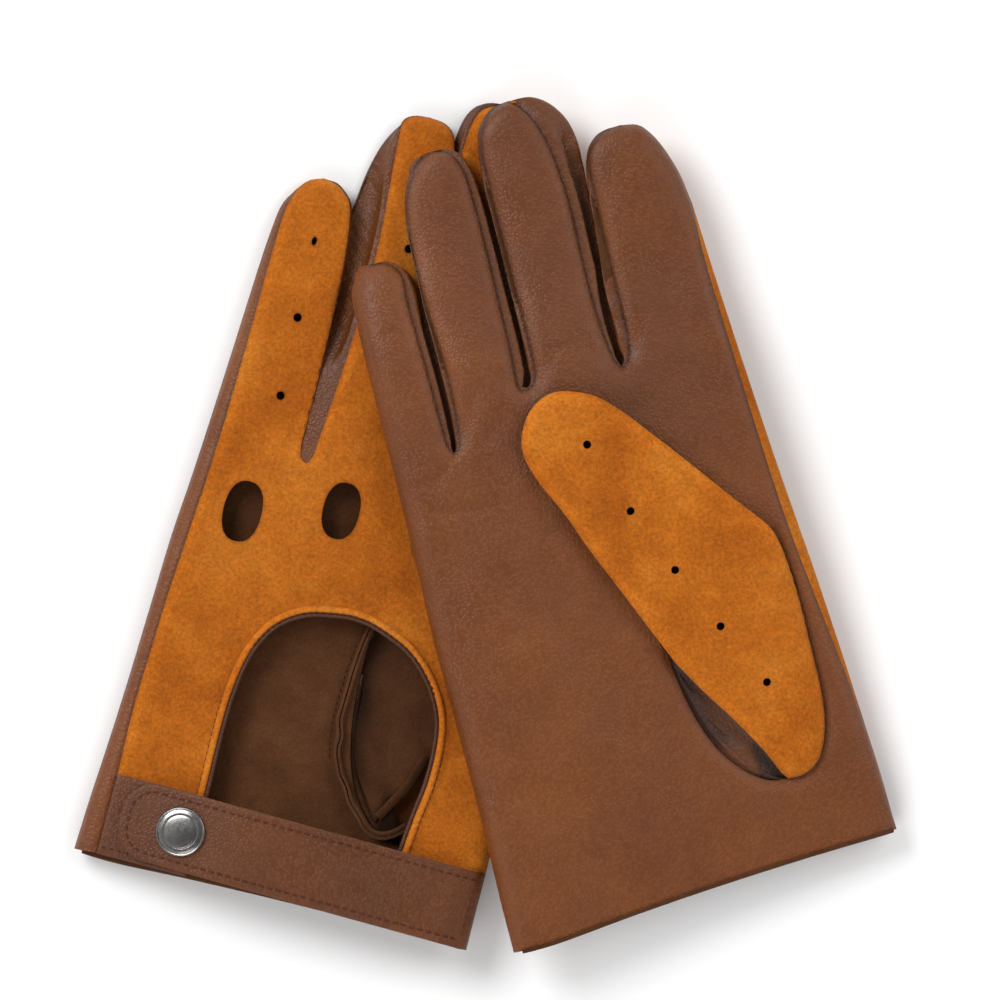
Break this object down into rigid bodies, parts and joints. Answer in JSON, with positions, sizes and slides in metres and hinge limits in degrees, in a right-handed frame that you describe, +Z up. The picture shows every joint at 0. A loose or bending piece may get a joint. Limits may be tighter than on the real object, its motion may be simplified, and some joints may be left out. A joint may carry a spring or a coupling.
{
  "type": "driving gloves",
  "caption": "Pair of leather and suede driving gloves, one back up and one palm up, with knuckle holes, open back and snap wrist strap.",
  "frame": {"origin": "on the surface the pair lies on, under the middle of the pair's bounding box", "axes": "+Z up, +Y towards the fingertips, +X towards the right glove; the left glove is turned 14.2 degrees clockwise and the right one 17.65 degrees anticlockwise"},
  "size_m": [0.2476, 0.2566, 0.0367],
  "materials": {
    "palm_leather": "smooth nappa leather, soft sheen, fine pebble grain",
    "fourchette_leather": "darker smooth leather of the finger side walls and thumb gusset",
    "leather_inside": "dark brown flesh side, rough and matt",
    "trim_leather": "smooth brown binding and wrist tab leather",
    "strap_leather": "smooth brown strap leather, slight sheen",
    "suede": "tan orange suede with a brushed nap",
    "thread": "rust brown sewing thread",
    "snap_steel": "plain nickel-plated snap parts",
    "snap_cap": "polished gunmetal domed cap, plain, with a raised rim"
  },
  "bodies": {
    "left_glove": {"left_palm_panel": "palm_leather", "left_back_panel": "suede", "left_fourchette_index_middle": "fourchette_leather", "left_fourchette_middle_ring": "fourchette_leather", "left_fourchette_ring_pinky": "fourchette_leather", "left_cuff_hem": "leather_inside", "left_opening_binding": "trim_leather", "left_opening_stitching": "thread", "left_stud_tab": "trim_leather", "left_tab_stitching": "thread", "left_strap_anchor": "strap_leather", "left_snap_stud": "snap_steel", "left_stud_rivet": "snap_steel"},
    "left_thumb": {"left_thumb_front": "suede", "left_thumb_gusset": "fourchette_leather"},
    "left_strap": {"left_strap": "strap_leather", "left_strap_lining": "leather_inside", "left_strap_stitching": "thread", "left_snap_cap": "snap_cap", "left_snap_socket": "snap_steel"},
    "right_glove": {"right_palm_panel": "palm_leather", "right_back_panel": "suede", "right_fourchette_index_middle": "fourchette_leather", "right_fourchette_middle_ring": "fourchette_leather", "right_fourchette_ring_pinky": "fourchette_leather", "right_cuff_hem": "leather_inside", "right_opening_binding": "trim_leather", "right_opening_stitching": "thread", "right_stud_tab": "trim_leather", "right_tab_stitching": "thread", "right_strap_anchor": "strap_leather", "right_snap_stud": "snap_steel", "right_stud_rivet": "snap_steel"},
    "right_thumb": {"right_thumb_front": "suede", "right_thumb_gusset": "fourchette_leather"},
    "right_strap": {"right_strap": "strap_leather", "right_strap_lining": "leather_inside", "right_strap_stitching": "thread", "right_snap_cap": "snap_cap", "right_snap_socket": "snap_steel"}
  },
  "joints": [
    {"name": "left_strap_hinge", "type": "hinge", "parent": "left_glove", "child": "left_strap", "pos_m": [-0.00713, -0.11425, 0.0201], "axis": [0.2453, 0.9694, 0], "range_deg": [0, 115]},
    {"name": "left_thumb_swing", "type": "hinge", "parent": "left_glove", "child": "left_thumb", "pos_m": [-0.01655, -0.07318, 0.0078], "axis": [0, 0, -1], "range_deg": [0, 35]},
    {"name": "right_glove_lift", "type": "slide", "parent": "left_glove", "child": "right_glove", "axis": [0, 0, 1], "range_m": [0, 0.15]},
    {"name": "right_strap_hinge", "type": "hinge", "parent": "right_glove", "child": "right_strap", "pos_m": [0.11475, -0.08034, 0.00115], "axis": [0.2995, -0.952, -0.0633], "range_deg": [0, 115]},
    {"name": "right_thumb_swing", "type": "hinge", "parent": "right_glove", "child": "right_thumb", "pos_m": [0.08677, -0.05085, 0.01769], "axis": [-0.1163, 0.0294, -0.9928], "range_deg": [0, 35]}
  ]
}
